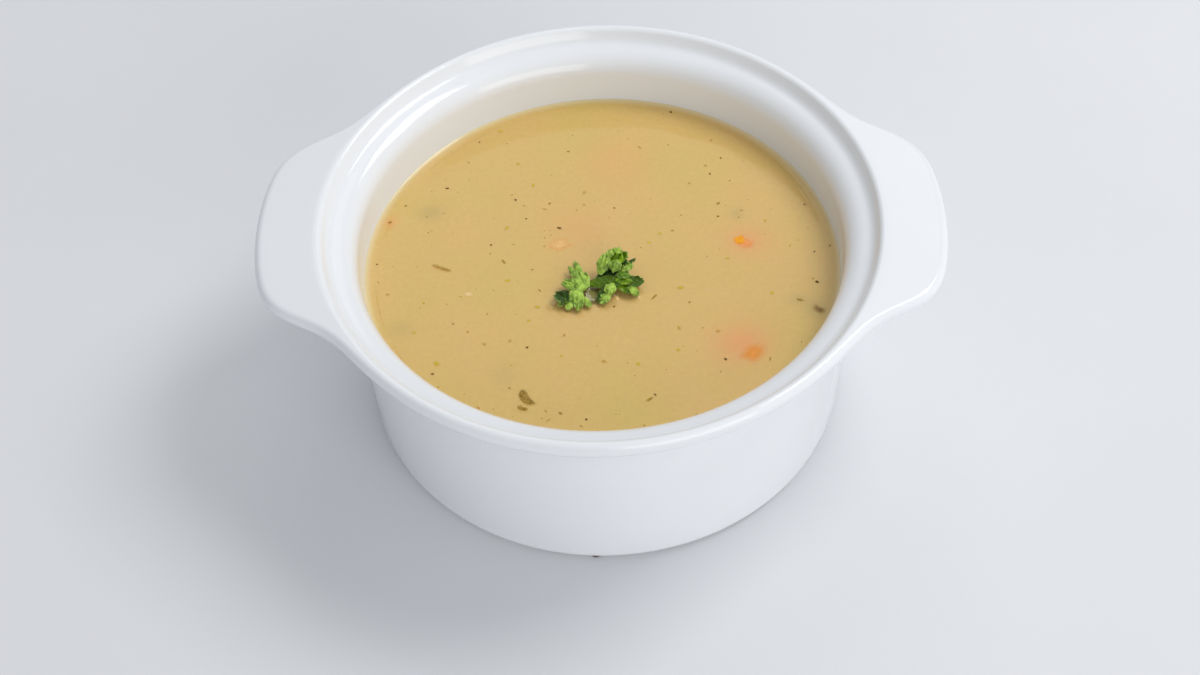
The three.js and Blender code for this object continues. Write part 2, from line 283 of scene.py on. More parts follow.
def turned_piece(name, radius, height, material):
    """Surface of a profile carried round the axis, x and y its radius times the azimuth's cosine and
    sine. Each end closes on the axis in a fan of triangles."""
    sides, count = radius.shape
    azimuths = np.linspace(0, 2 * np.pi, sides, endpoint=False)[:, None]
    ring = np.stack([radius * np.cos(azimuths), radius * np.sin(azimuths), height], axis=-1)
    poles = np.array([[0, 0, height[0, 0]], [0, 0, height[0, -1]]])
    points = np.concatenate([ring.reshape(-1, 3), poles])
    index = np.arange(sides * count).reshape(sides, count)
    onward = np.roll(index, -1, axis=0)
    quads = np.stack([index[:, :-1], index[:, 1:], onward[:, 1:], onward[:, :-1]], axis=-1).reshape(-1, 4)
    first = np.stack([np.full(sides, sides * count), index[:, 0], onward[:, 0]], axis=-1)
    last = np.stack([np.full(sides, sides * count + 1), onward[:, -1], index[:, -1]], axis=-1)
    return mesh_piece(name, points, quads.tolist() + first.tolist() + last.tolist(), material)


def wall_radius(height):
    """Radius of the inner wall at a height: less by the lean's tangent times the way to the shoulder."""
    return INSIDE_RADIUS - (SHOULDER_HEIGHT - height) * np.tan(np.radians(INSIDE_LEAN))


def inside_parts(offset):
    """The floor as a line and its corner as a quarter arc, both an offset inside the porcelain."""
    size = CORNER_RADIUS - offset
    floor = FLOOR_HEIGHT + offset
    return [
        line_points((AXIS_GAP, floor), (FLOOR_RADIUS - FLOOR_GAP, floor), 14),
        arc_points(FLOOR_RADIUS, FLOOR_HEIGHT + CORNER_RADIUS, size, size, -90, -INSIDE_LEAN, 16),
    ]


def rim_edge(handle):
    """The rim's rounded edge: the radius where it starts, its width and the height of its top."""
    width = between(RIM_EDGE_WIDTH, HANDLE_EDGE_WIDTH, handle)
    return between(RIM_RADIUS, HANDLE_REACH, handle) - width, width, RIM_HEIGHT - handle * HANDLE_FALL


def step_points():
    """The hollow foot of the lid step, a curve from the end of the shoulder to the start of the crown."""
    end, start = np.radians(SHOULDER_END), np.radians(CROWN_START)
    ledge = (
        INSIDE_RADIUS + SHOULDER_RADIUS + SHOULDER_RADIUS * np.cos(end),
        SHOULDER_HEIGHT + SHOULDER_RADIUS * np.sin(end),
    )
    riser = (
        STEP_FOOT_RADIUS + CROWN_INSET + CROWN_RADIUS * np.cos(start),
        RIM_HEIGHT - CROWN_RADIUS + CROWN_RADIUS * np.sin(start),
    )
    foot = (STEP_FOOT_RADIUS, STEP_FOOT_HEIGHT)
    before, after = part_way(ledge, foot, STEP_CURVE_START), part_way(foot, riser, STEP_CURVE_END)
    return curve_points(before, foot, after, 9)


def rim_parts(handle):
    """The lid step's hollow foot, the rim's inner crown, its top and its rounded outer edge."""
    edge, edge_width, top = rim_edge(handle)
    crown, size = STEP_FOOT_RADIUS + CROWN_INSET, CROWN_RADIUS
    top_start = (between(crown, edge, RIM_TOP_GAP), between(RIM_HEIGHT, top, RIM_TOP_FALL))
    top_end = part_way((crown, RIM_HEIGHT), (edge, top), 1 - RIM_TOP_GAP)
    low = top - RIM_EDGE_DROP
    return [
        step_points(),
        arc_points(crown, RIM_HEIGHT - size, size, size, CROWN_START, CROWN_END, 8),
        line_points(top_start, top_end, 8),
        arc_points(edge, low, edge_width, RIM_EDGE_DROP, RIM_EDGE_START, RIM_EDGE_END, 14),
    ]


def outside_parts(handle):
    """The hollow curve below the rim, the wall, the foot's rounding, its flat ring and the recess."""
    edge, _, top = rim_edge(handle)
    low_edge = (edge - RIM_EDGE_INSET, top - between(RIM_THICKNESS, HANDLE_THICKNESS, handle))
    flare = (
        WALL_TOP_RADIUS + FLARE_WIDTH + handle * HANDLE_FLARE_WIDTH,
        RIM_HEIGHT - FLARE_DROP - handle * HANDLE_FLARE_DROP,
    )
    wall_top = (WALL_TOP_RADIUS, WALL_TOP_HEIGHT - handle * HANDLE_FLARE_DROP)
    foot = WALL_FOOT_RADIUS - FOOT_ROUNDING
    ring = foot - FOOT_RING_WIDTH
    recess = ring - FOOT_RECESS
    wall_foot = (WALL_FOOT_RADIUS, FOOT_ROUNDING)
    wall_start = part_way(wall_foot, (WALL_TOP_RADIUS, WALL_TOP_HEIGHT), WALL_START)
    wall_end = (WALL_FOOT_RADIUS + WALL_END_OUT, FOOT_ROUNDING + WALL_END_UP)
    return [
        curve_points(low_edge, flare, wall_top, 14),
        line_points(wall_start, wall_end, 12),
        arc_points(foot, FOOT_ROUNDING, FOOT_ROUNDING, FOOT_ROUNDING, 0, -90, 9),
        line_points((foot - FOOT_OUTER_GAP, 0.0), (ring + FOOT_INNER_GAP, 0.0), 4),
        line_points((ring, RECESS_START), (recess, FOOT_RECESS), 4),
        line_points((recess - RECESS_GAP, FOOT_RECESS), (AXIS_GAP, FOOT_RECESS), 5),
    ]


def bowl_profile():
    """The bowl's half section at each azimuth, from the floor inside over the rim to the foot. A handle's
    share is 1 / (1 + (angle / half angle)^7), and mixes the rim's plain values with the handle's."""
    azimuths = np.linspace(0, 360, BOWL_SIDES, endpoint=False)
    away = np.minimum(azimuths % 180, 180 - azimuths % 180)
    handle = 1 / (1 + (away / HANDLE_HALF_ANGLE) ** HANDLE_SQUARENESS)
    centre, size, start = INSIDE_RADIUS + SHOULDER_RADIUS, SHOULDER_RADIUS, 180 - INSIDE_LEAN
    low = FLOOR_HEIGHT + CORNER_RADIUS + WALL_LOW_GAP
    high = SHOULDER_HEIGHT - WALL_HIGH_GAP
    parts = inside_parts(0) + [
        line_points((wall_radius(low), low), (wall_radius(high), high), 14),
        arc_points(centre, SHOULDER_HEIGHT, size, size, start, SHOULDER_END, 14),
    ]
    return profile(parts + rim_parts(handle) + outside_parts(handle), BOWL_SIDES)


def bumped(tree, height, distance, strength):
    """The normal of a surface raised by the height times a distance in metres."""
    settings = {"Height": height, "Distance": distance, "Strength": strength}
    return add_node(tree, "ShaderNodeBump", settings).outputs["Normal"]


def dress(piece, node):
    """The piece rides on the root body and stands for the node, whose imported part is hidden."""
    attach(piece, "root")
    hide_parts(node)


def porcelain_material():
    """White body under smooth clear glaze, with wide low noise that makes its reflections waver. The
    lowest part of the foot ring shows rough bare clay."""
    material, tree, shader = new_material("glazed_porcelain")
    place = tree.nodes.new("ShaderNodeTexCoord").outputs["Object"]
    height = add_node(tree, "ShaderNodeSeparateXYZ", {"Vector": place}).outputs["Z"]
    glazed = ranged(tree, height, BARE_BELOW * MM, GLAZED_ABOVE * MM)
    tone = ranged(tree, noise(tree, scale=45.0, detail=3.0), 0.3, 0.7)
    waver = noise(tree, scale=60.0, detail=1.0)
    set_inputs(tree, shader, {
        "Base Color": mixed(tree, glazed, BARE_CLAY, mottled(tree, tone, PORCELAIN)),
        "Roughness": ranged(tree, glazed, 0, 1, BARE_ROUGHNESS, GLAZE_ROUGHNESS),
        "Normal": bumped(tree, waver, distance=0.0004, strength=0.12),
        "IOR": 1.5,
    })
    return material


bowl = turned_piece("bowl_porcelain", *bowl_profile(), porcelain_material())
dress(bowl, "bowl")

# The soup: thick cream soup poured to 16 mm below the rim. It climbs the wall in a thin pale edge, wets
# the parsley in small raised lips, and shows soft stains where carrot and herbs lie just below it. A wide
# olive-brown band along the right wall is painted shade of that wall.
SOUP_LEVEL = 38.7
SOUP_SIDES = 300
SOUP_RINGS = 190
EDGE_RINGS = 22
FIRST_RING = 0.4
SOUP_INSET = -0.02
SOUP_CLEARANCE = 0.12
MENISCUS_WIDTH = 2.6
MENISCUS_RISE = 0.6
MENISCUS_POWER = 2.2
SWELL_HEIGHT = 0.02
PALE_EDGE_START = 0.35
PALE_EDGE_POWER = 1.5
SOUP_WARM = (221, 183, 112)
SOUP_COOL = (215, 184, 104)
SOUP_CARROT = (232, 158, 100)
SOUP_HERB_AND_WALL_SHADE = (178, 156, 96)
SOUP_EDGE = (232, 216, 172)
SOUP_GRAIN = (150, 120, 60)
SOUP_FLECK = (244, 226, 178)

# Each swell's waves in x and in y, in radians per millimetre, and its shift.
SWELLS = [(0.42, 0.18, 0.0), (-0.2, 0.31, 1.3)]

# Each stain's place, spread in x and y, and strength.
CARROT_STAINS = [
    (34.0, 7.0, 5.0, 4.5, 0.55),
    (31.5, -24.0, 6.5, 6.0, 0.5),
    (32.2, -24.8, 4.4, 3.8, 0.45),
    (-6.0, 12.5, 7.0, 6.0, 0.22),
    (4.0, 34.0, 8.0, 9.0, 0.2),
    (-50.3, 15.2, 1.6, 1.8, 0.5),
]
HERB_STAINS_AND_WALL_SHADE = [
    (-41.0, 18.0, 3.2, 2.6, 0.45),
    (32.0, 15.8, 2.0, 1.8, 0.35),
    (-46.0, -18.3, 3.4, 2.6, 0.3),
    (-22.0, -32.5, 3.0, 3.6, 0.22),
    (45.3, -11.6, 2.4, 1.8, 0.4),
    # Olive stain round the brown fleck, partly herb and partly painted shade of the right wall.
    (49.0, -14.4, 2.6, 2.6, 0.5),
    # Painted shade: a wide olive-brown band where the right wall shades the soup.
    (52.5, -8.0, 6.5, 15.0, 0.25),
]

# Each wet lip's place, spread and height.
WET_LIPS = [
    (3.2, -10.0, 0.5, 0.5),
    (8.0, -9.8, 0.6, 0.5),
    (-8.6, -14.4, 0.6, 0.3),
    (-11.6, -12.6, 0.7, 0.3),
    (-4.6, -14.6, 0.6, 0.3),
]


def soup_profile():
    """The soup's half section: its flat top with slow sine swells and bell-shaped wet lips, an edge that
    rises as a power of the way through the meniscus, then the corner and floor."""
    edge = wall_radius(SOUP_LEVEL + MENISCUS_RISE) - SOUP_INSET
    flat = np.linspace(FIRST_RING, edge - MENISCUS_WIDTH, SOUP_RINGS)
    climb = np.linspace(0, 1, EDGE_RINGS + 1)[1:]
    radius = np.concatenate([flat, edge - MENISCUS_WIDTH * (1 - climb)])
    height = SOUP_LEVEL + np.concatenate([0 * flat, MENISCUS_RISE * climb ** MENISCUS_POWER])
    below = [(r[:, ::-1], z[:, ::-1]) for r, z in inside_parts(SOUP_CLEARANCE)[::-1]]
    radius, height = profile([(radius[None, :], height[None, :])] + below, SOUP_SIDES)
    x, y = soup_places(radius)
    lift = SWELL_HEIGHT * sum(np.sin(in_x * x + in_y * y + shift) for in_x, in_y, shift in SWELLS)
    for place_x, place_y, spread, tall in WET_LIPS:
        lift += tall * np.exp(-((x - place_x) ** 2 + (y - place_y) ** 2) / (2 * spread ** 2))
    return radius, height + lift * (np.arange(radius.shape[1]) < len(flat))


def soup_places(radius):
    """x and y of every point of the turned soup, from its radius and its row's azimuth."""
    azimuths = np.linspace(0, 2 * np.pi, SOUP_SIDES, endpoint=False)[:, None]
    return radius * np.cos(azimuths), radius * np.sin(azimuths)


def stained(x, y, stains):
    """How strongly a place is stained: 1 minus the product of what each bell-shaped stain leaves."""
    left = np.ones(x.shape)
    for place_x, place_y, spread_x, spread_y, strength in stains:
        left *= 1 - strength * np.exp(-((x - place_x) / spread_x) ** 2 - ((y - place_y) / spread_y) ** 2)
    return 1 - left


def with_poles(values):
    """The values of the rings, then those of the two points where the profile meets the axis."""
    return np.concatenate([values.ravel(), [values[0, 0], values[0, -1]]])


def attribute(tree, name):
    """The value of one of the mesh's own point attributes."""
    made = tree.nodes.new("ShaderNodeAttribute")
    made.attribute_name = name
    return made.outputs["Fac"]


def set_values(piece, name, values):
    """Keeps one number for each point of the piece's mesh, for its material to read."""
    kept = piece.data.attributes.new(name, "FLOAT", "POINT")
    kept.data.foreach_set("value", np.asarray(values, np.float32).ravel())


def soup_material():
    """Cream tan that wanders between a warmer and a yellower tone, with fine dark grain and light flecks,
    orange and olive stains, a wide olive-brown band of painted shade along the right wall, and a paler
    edge. Light scatters just under the surface."""
    material, tree, shader = new_material("cream_soup")
    wander = ranged(tree, noise(tree, scale=38.0, detail=3.0), 0.32, 0.68)
    colour = mixed(tree, wander, SOUP_WARM, SOUP_COOL)
    grain = ranged(tree, noise(tree, scale=800.0, detail=4.0), 0.3, 0.7, 0.0, 0.09)
    colour = mixed(tree, grain, colour, SOUP_GRAIN)
    fleck = ranged(tree, noise(tree, scale=1900.0, detail=1.0), 0.66, 0.78, 0.0, 0.14)
    colour = mixed(tree, fleck, colour, SOUP_FLECK)
    # The herb tint also lays down the painted shade of the right wall.
    for name, tint in (("carrot", SOUP_CARROT), ("herb", SOUP_HERB_AND_WALL_SHADE), ("edge", SOUP_EDGE)):
        colour = mixed(tree, attribute(tree, name), colour, tint)
    ripple = noise(tree, scale=900.0, detail=2.0)
    set_inputs(tree, shader, {
        "Base Color": colour,
        "Roughness": 0.09,
        "IOR": 1.38,
        "Subsurface Weight": 0.2,
        "Subsurface Radius": (0.0015, 0.001, 0.0005),
        "Normal": bumped(tree, ripple, distance=0.00004, strength=0.2),
    })
    return material


soup_radius, soup_height = soup_profile()
soup_x, soup_y = soup_places(soup_radius)
edge_way = (np.arange(soup_radius.shape[1]) - SOUP_RINGS + 1) / EDGE_RINGS
pale_edge = np.clip((edge_way - PALE_EDGE_START) / (1 - PALE_EDGE_START), 0, 1) ** PALE_EDGE_POWER
soup = turned_piece("soup_surface", soup_radius, soup_height, soup_material())
set_values(soup, "carrot", with_poles(stained(soup_x, soup_y, CARROT_STAINS)))
# The herb values hold herb stains and the band of painted shade along the right wall.
set_values(soup, "herb", with_poles(stained(soup_x, soup_y, HERB_STAINS_AND_WALL_SHADE)))
set_values(soup, "edge", with_poles(np.broadcast_to(pale_edge, soup_radius.shape)))
dress(soup, "soup")

# The bits that float half sunk, fused to the soup: a herb stalk, a folded herb leaf with a crumb, a
# carrot dice with its washed side, a covered carrot, a pale strip and a brown fleck. Each is a flat
# pebble with an uneven outline, whose colour fades where the soup laps over its sides.
BIT_RISE = 0.1
BLUNTNESS = 0.6
BIT_SIDES = 40
BIT_ROWS = 20
CAP_ANGLE = 0.06

# Each wave of a bit's outline: its turns and its height.
OUTLINE_WAVES = [(2, 1.0), (3, 0.7), (5, 0.5)]

# Each bit's x, y, length, width, height, heading in degrees and bend.
STALK = [(-37.5, 0.0, 5.6, 1.0, 0.8, -26, 0.12)]
HERB_LEAF = [(-17.0, -39.3, 5.6, 2.3, 0.7, -62, 0.25), (-17.6, -42.2, 2.8, 1.1, 0.7, -15, 0.1)]
CARROT_DICE = [(32.4, 7.1, 3.4, 3.0, 0.4, 20, 0.0)]
DICE_UNDERSIDE = [(33.9, 6.0, 4.4, 3.6, 0.3, -30, 0.1)]
SUNK_CARROT = [(34.1, -27.4, 7.2, 5.8, 0.2, 60, 0.0)]
PALE_STRIP = [(-10.0, 7.0, 7.6, 4.6, 0.25, 28, -0.12)]
BROWN_FLECK = [(49.6, -14.8, 3.8, 2.6, 0.4, -35, 0.0)]


def squared(wave):
    """A cosine or sine with its size raised to the bluntness, which squares the outline it makes."""
    return np.sign(wave) * np.abs(wave) ** BLUNTNESS


def pebble_points(bits, sides, rows, uneven, seed):
    """Closed flat pebbles. At azimuth a and polar angle p, which stops short of both poles, a point is
    half the length times sin(p) and the squared cos(a) along, half the width times sin(p) and the
    squared sin(a) across, and half the height times cos(p) up. Sine waves scale the outline, and the
    bend shifts the ends sideways. Gives points, and how far each lies inside its outline."""
    drawn = np.random.default_rng(seed)
    x, y, length, width, height, heading, bend = np.array(bits, float).T[:, :, None, None]
    a = np.linspace(0, 2 * np.pi, sides, endpoint=False)[None, None, :]
    p = np.linspace(CAP_ANGLE, np.pi - CAP_ANGLE, rows)[None, :, None]
    phases = drawn.uniform(0, 2 * np.pi, (len(OUTLINE_WAVES), len(bits), 1, 1))
    waves = sum(tall * np.sin(turns * a + phase) for (turns, tall), phase in zip(OUTLINE_WAVES, phases))
    outline = np.sin(p) * (1 + uneven * waves)
    along = 0.5 * length * outline * squared(np.cos(a))
    across = 0.5 * width * outline * squared(np.sin(a))
    across = across + bend * width * (2 * along / length) ** 2
    turn = np.radians(heading)
    points = np.stack([
        x + along * np.cos(turn) - across * np.sin(turn),
        y + along * np.sin(turn) + across * np.cos(turn),
        SOUP_LEVEL + height * (BIT_RISE + 0.5 * np.cos(p)) + 0 * a,
    ], axis=-1)
    return points, np.broadcast_to(1 - np.sin(p), points.shape[:3])


def ringed_faces(count, rows, sides):
    """Faces of closed shapes made of rings: quads between a shape's rings and a polygon at both ends."""
    index = np.arange(count * rows * sides).reshape(count, rows, sides)
    beside = np.roll(index, -1, axis=2)
    corners = (index[:, :-1], index[:, 1:], beside[:, 1:], beside[:, :-1])
    quads = np.stack(corners, axis=-1).reshape(-1, 4)
    return quads.tolist() + index[:, 0].tolist() + index[:, -1, ::-1].tolist()


def pebbles(name, bits, material, uneven, seed, sides=BIT_SIDES, rows=BIT_ROWS):
    """One mesh of all the pebbles. They cast no shadow, because it would ring each with dark soup."""
    points, inside = pebble_points(bits, sides, rows, uneven, seed)
    piece = mesh_piece(name, points.reshape(-1, 3), ringed_faces(len(bits), rows, sides), material)
    piece.visible_shadow = False
    set_values(piece, "inside", inside)
    dress(piece, "soup")


def crumb_group():
    """The look that all bits share: two colours mixed by fine noise, a grainy normal, and a cover that
    falls to nothing at the outline over a given softness."""
    group = bpy.data.node_groups.new("crumb_look", "ShaderNodeTree")
    sockets = {
        "INPUT": {"Light": "Color", "Dark": "Color", "Softness": "Float"},
        "OUTPUT": {"Color": "Color", "Cover": "Float", "Normal": "Vector"},
    }
    for side, kinds in sockets.items():
        for name, kind in kinds.items():
            group.interface.new_socket(name, in_out=side, socket_type="NodeSocket" + kind)
    given = group.nodes.new("NodeGroupInput").outputs
    grain = noise(group, scale=1400.0, detail=3.0)
    spots = ranged(group, grain, 0.35, 0.65)
    cover = ranged(group, attribute(group, "inside"), 0.0, given["Softness"])
    cover.node.interpolation_type = "SMOOTHSTEP"
    add_node(group, "NodeGroupOutput", {
        "Color": mixed(group, spots, given["Dark"], given["Light"]),
        "Cover": cover,
        "Normal": bumped(group, grain, distance=0.0001, strength=0.4),
    })
    return group


def crumb_material(name, light, dark, soft, cover, rough):
    """A bit's material: soft is how far in its outline fades, cover how much shows through the soup."""
    material, tree, shader = new_material(name)
    look = tree.nodes.new("ShaderNodeGroup")
    look.node_tree = crumb_look
    set_inputs(tree, look, {"Light": srgb(*light), "Dark": srgb(*dark), "Softness": soft})
    set_inputs(tree, shader, {
        "Base Color": look.outputs["Color"],
        "Normal": look.outputs["Normal"],
        "Alpha": ranged(tree, look.outputs["Cover"], 0, 1, 0, cover),
        "Roughness": rough,
        "Specular IOR Level": 0.1,
    })
    return material


crumb_look = crumb_group()
stalk = crumb_material("herb_stalk", (202, 168, 92), (160, 128, 60), soft=0.35, cover=0.88, rough=0.3)
pebbles("herb_stalk", STALK, stalk, uneven=0.04, seed=3)
herb = crumb_material("cooked_herb", (180, 148, 70), (126, 96, 32), soft=0.35, cover=0.9, rough=0.3)
pebbles("herb_leaf", HERB_LEAF, herb, uneven=0.09, seed=4)
carrot = crumb_material("carrot", (248, 176, 40), (240, 152, 24), soft=0.6, cover=1.0, rough=0.22)
pebbles("carrot_dice", CARROT_DICE, carrot, uneven=0.08, seed=5)
salmon = crumb_material("washed_carrot", (244, 172, 108), (236, 152, 84), soft=0.9, cover=0.9, rough=0.18)
pebbles("dice_underside", DICE_UNDERSIDE, salmon, uneven=0.1, seed=9)
sunk = crumb_material("covered_carrot", (240, 164, 74), (232, 150, 60), soft=1.0, cover=0.84, rough=0.16)
pebbles("sunk_carrot", SUNK_CARROT, sunk, uneven=0.08, seed=6)
pale = crumb_material("pale_root", (240, 198, 132), (226, 176, 112), soft=0.9, cover=0.95, rough=0.2)
pebbles("pale_strip", PALE_STRIP, pale, uneven=0.16, seed=7)
brown = crumb_material("brown_skin", (166, 130, 84), (130, 98, 58), soft=1.0, cover=0.9, rough=0.4)
pebbles("brown_fleck", BROWN_FLECK, brown, uneven=0.1, seed=8)

# What is strewn through the soup: ground pepper, snips of cooked herb, soft yellow-green leek, faint
# specks that lie deeper, and pale dots, more of them on the right, that are fat drops and painted
# highlights for the glints of the soup's grainy surface. The largest lie where the photograph shows
# them, given as x, y, length, width and heading, and the others by a seeded draw.
SPECK_SIDES = 10
SPECK_ROWS = 7
STREWN_RADIUS = 52.5
PARSLEY_Y = -6.0
PARSLEY_HALF_X = 15.5
PARSLEY_HALF_Y = 11.625
SPECK_BEND = 0.1

PEPPER = [
    (-30.1, 41.5, 0.6, 0.5, 0), (-43.0, 33.9, 0.6, 0.5, 40), (-45.5, 31.1, 0.5, 0.4, 0),
    (-37.3, 25.9, 1.1, 0.7, 12), (-20.7, 21.6, 0.9, 0.6, -35), (-47.0, 20.4, 0.6, 0.5, 0),
    (-18.0, 15.4, 0.6, 0.5, 0), (-10.1, 12.1, 1.3, 0.8, -25),
    (-26.1, 7.1, 0.7, 0.6, 0), (-52.7, 1.7, 0.6, 0.5, 0), (17.1, 50.6, 0.8, 0.7, 0),
    (28.9, 34.3, 0.6, 0.5, 0), (26.1, 29.0, 0.7, 0.6, 0), (27.6, 14.9, 0.7, 0.6, 0),
    (3.0, 18.3, 0.6, 0.5, 0), (50.5, 21.1, 0.6, 0.5, 0), (48.3, 18.2, 0.6, 0.5, 0),
    (49.7, 3.0, 0.7, 0.5, 40), (-16.9, -24.6, 0.8, 0.7, 0), (-38.0, -31.8, 0.9, 0.6, -10),
    (-3.4, -45.5, 0.7, 0.6, 0), (2.8, -12.8, 0.8, 0.4, 50), (49.7, -6.5, 1.2, 0.8, -20),
    (27.8, -29.1, 0.9, 0.7, -15), (11.8, -38.8, 0.6, 0.5, 0),
]
SNIPS = [
    (-8.2, 37.6, 1.0, 0.8, 0), (-12.5, 20.2, 1.0, 0.7, 60), (-23.0, 1.7, 2.0, 0.9, -52),
    (-50.5, 15.0, 1.2, 1.0, 30),
    (-16.2, -0.9, 1.0, 0.6, 10), (16.7, 10.6, 0.9, 0.6, 0), (-14.4, -7.4, 1.4, 0.5, -55),
    (-34.0, -17.1, 0.8, 0.7, 0), (-20.6, -36.3, 0.9, 0.7, 0), (-9.1, -43.7, 1.3, 0.9, -20),
    (12.1, -10.1, 2.6, 0.8, 52), (10.6, -40.2, 2.4, 0.9, 40), (37.8, -29.2, 1.7, 0.5, 85),
    (27.8, 19.1, 1.3, 0.9, 30), (45.5, -11.9, 2.2, 1.0, -12), (53.4, 4.8, 1.0, 0.7, 70),
]
LEEK = [
    (-25.0, 45.1, 1.2, 1.1, 80), (-20.4, 33.7, 1.2, 1.0, 0), (-16.5, 26.4, 1.5, 0.8, 86),
    (-22.5, 12.5, 1.3, 1.0, 70), (38.7, 13.2, 1.2, 0.6, -65), (29.3, 1.4, 1.3, 0.6, 0),
    (13.7, 9.7, 1.2, 0.8, 0), (11.1, 6.9, 1.4, 0.7, 0), (-21.9, -4.2, 1.6, 0.9, 0),
    (-14.8, -12.6, 1.7, 0.9, 5), (-42.9, -19.6, 1.2, 0.8, -10), (-9.1, -27.3, 0.9, 0.8, 0),
    (18.2, -7.5, 1.7, 1.1, 5), (8.2, -30.0, 1.1, 1.1, 0), (17.2, -26.1, 1.2, 0.9, -60),
    (39.2, -9.6, 1.4, 1.0, 0), (-37.3, -28.9, 2.0, 1.3, -50),
]
FAT_DROPS = [(-30.8, -8.4, 2.6, 2.2, 0)]


def strewn(count, seed, sizes, slimness, right_share=0.0):
    """Drawn specks. The radius is the square root of an even draw, so that they lie evenly. A share of
    those on the left is moved over to the right, and those under the parsley are left out."""
    drawn = np.random.default_rng(seed)
    radius = STREWN_RADIUS * np.sqrt(drawn.uniform(0, 1, count))
    azimuth = drawn.uniform(0, 2 * np.pi, count)
    x, y = radius * np.cos(azimuth), radius * np.sin(azimuth)
    x = np.where(drawn.uniform(0, 1, count) < right_share, np.abs(x), x)
    length = between(*sizes, drawn.uniform(0, 1, count) ** 2)
    width = length * drawn.uniform(slimness, 1, count)
    heading = drawn.uniform(0, 180, count)
    clear = (x / PARSLEY_HALF_X) ** 2 + ((y - PARSLEY_Y) / PARSLEY_HALF_Y) ** 2 > 1
    return np.stack([x, y, length, width, heading], axis=1)[clear]


def strew(name, seen, drawn, material, height, uneven, seed):
    """One mesh of one kind of speck: those seen and those drawn, each as high as a share of its width."""
    flat = np.concatenate([np.array(seen, float).reshape(-1, 5), drawn])
    x, y, length, width, heading = flat.T
    bend = np.full(len(x), SPECK_BEND)
    bits = np.stack([x, y, length, width, height * width, heading, bend], axis=1)
    pebbles(name, bits, material, uneven, seed, SPECK_SIDES, SPECK_ROWS)


dark = crumb_material("ground_pepper", (116, 78, 20), (72, 42, 4), soft=0.5, cover=0.95, rough=0.5)
drawn = strewn(count=24, seed=21, sizes=(0.22, 0.4), slimness=0.6)
strew("pepper", PEPPER, drawn, dark, height=0.5, uneven=0.12, seed=31)
olive = crumb_material("herb_snips", (170, 140, 44), (138, 108, 22), soft=0.8, cover=0.85, rough=0.5)
drawn = strewn(count=18, seed=22, sizes=(0.4, 0.9), slimness=0.4)
strew("herb_snips", SNIPS, drawn, olive, height=0.35, uneven=0.1, seed=32)
green = crumb_material("leek", (212, 188, 44), (190, 164, 22), soft=0.8, cover=0.95, rough=0.2)
drawn = strewn(count=12, seed=23, sizes=(0.5, 1.0), slimness=0.5)
strew("leek", LEEK, drawn, green, height=0.4, uneven=0.1, seed=33)
faint = crumb_material("deeper_specks", (198, 160, 76), (182, 142, 56), soft=1.0, cover=0.8, rough=0.5)
drawn = strewn(count=70, seed=24, sizes=(0.4, 1.6), slimness=0.45)
strew("deeper_specks", [], drawn, faint, height=0.2, uneven=0.1, seed=34)
# Pale dots, half of those on the left moved to the right: fat drops, and painted highlights for the
# soup's glints.
fat_and_glint = crumb_material("fat_drops_and_glints", (244, 222, 172), (234, 208, 150), soft=0.8, cover=0.6, rough=0.12)
drawn = strewn(count=90, seed=25, sizes=(0.25, 0.8), slimness=0.3, right_share=0.5)
strew("fat_drops_and_glints", FAT_DROPS, drawn, fat_and_glint, height=0.3, uneven=0.05, seed=35)

# The parsley sprig: two curly leaflets that meet at their cut stem and lie on the soup. Each lobe is a
# thin ruffled blade, dark and smooth above, pale and ribbed below, with the edges rolled over.
LEAF_THICKNESS = 0.3
LEAF_ROWS = 40
LEAF_COLUMNS = 33
LEAF_FLOOR = 0.3
EDGE_THINNING = 0.6
VEIN_HEIGHT = 0.09
VEIN_WIDTH = 0.08
VEIN_FAN = 0.35
SIDE_VEIN_AT = 0.55
SIDE_VEIN_SHARE = 0.8
CREASE_DEPTH = 0.07
CREASE_WIDTH = 0.1
CREASES_AT = (0.28, 0.8)
ROOT_GLOW = 0.9
ROOT_SHARE = 0.32
FULL_WIDTH_AT = 0.7
END_NARROWING = 0.16
END_ROUNDING = 0.26
NOTCH_DEPTH = 0.04
PLEAT_HEIGHT = 0.14
RUFFLE_HEIGHT = 0.13
RUFFLE_WAVES = 10
RUFFLE_SHIFT = 2.5
FRILL_HEIGHT = 0.05
FRILL_WAVES = 7
TOOTH_DEPTH = 0.035
TEETH_PER_MM = 0.75
BULGE_HEIGHT = 0.1
BULGE_SPAN = 1.5
SIDE_WAVE = 1.1
SIDE_DEPTH = 0.07
CRIMP_WAVE = 0.85
CRIMP_HEIGHT = 0.055
UPPER_DARK = (8, 30, 0)
UPPER_LIGHT = (142, 180, 0)
LOWER_DARK = (76, 120, 14)
LOWER_LIGHT = (196, 230, 96)
LEAF_PATCH = (48, 96, 0)
# Painted shade: darker green in the hollows of the blister bump.
BLISTER_HOLLOW_SHADE = (48, 80, 0)
UPPER_MARKS = 0.3

# Each mark on the leaf: its strength on the pale side and its colour. The ribs are the veins' own pale
# colour; the dark creases are painted shade in the valleys, and the pale rims are a painted highlight on
# the rolled edges.
LEAF_MARKS_SHADE_AND_HIGHLIGHT = {
    "crease": (0.22, (64, 98, 4)),
    "rib": (0.26, (180, 208, 104)),
    "rim": (0.6, (178, 208, 112)),
}
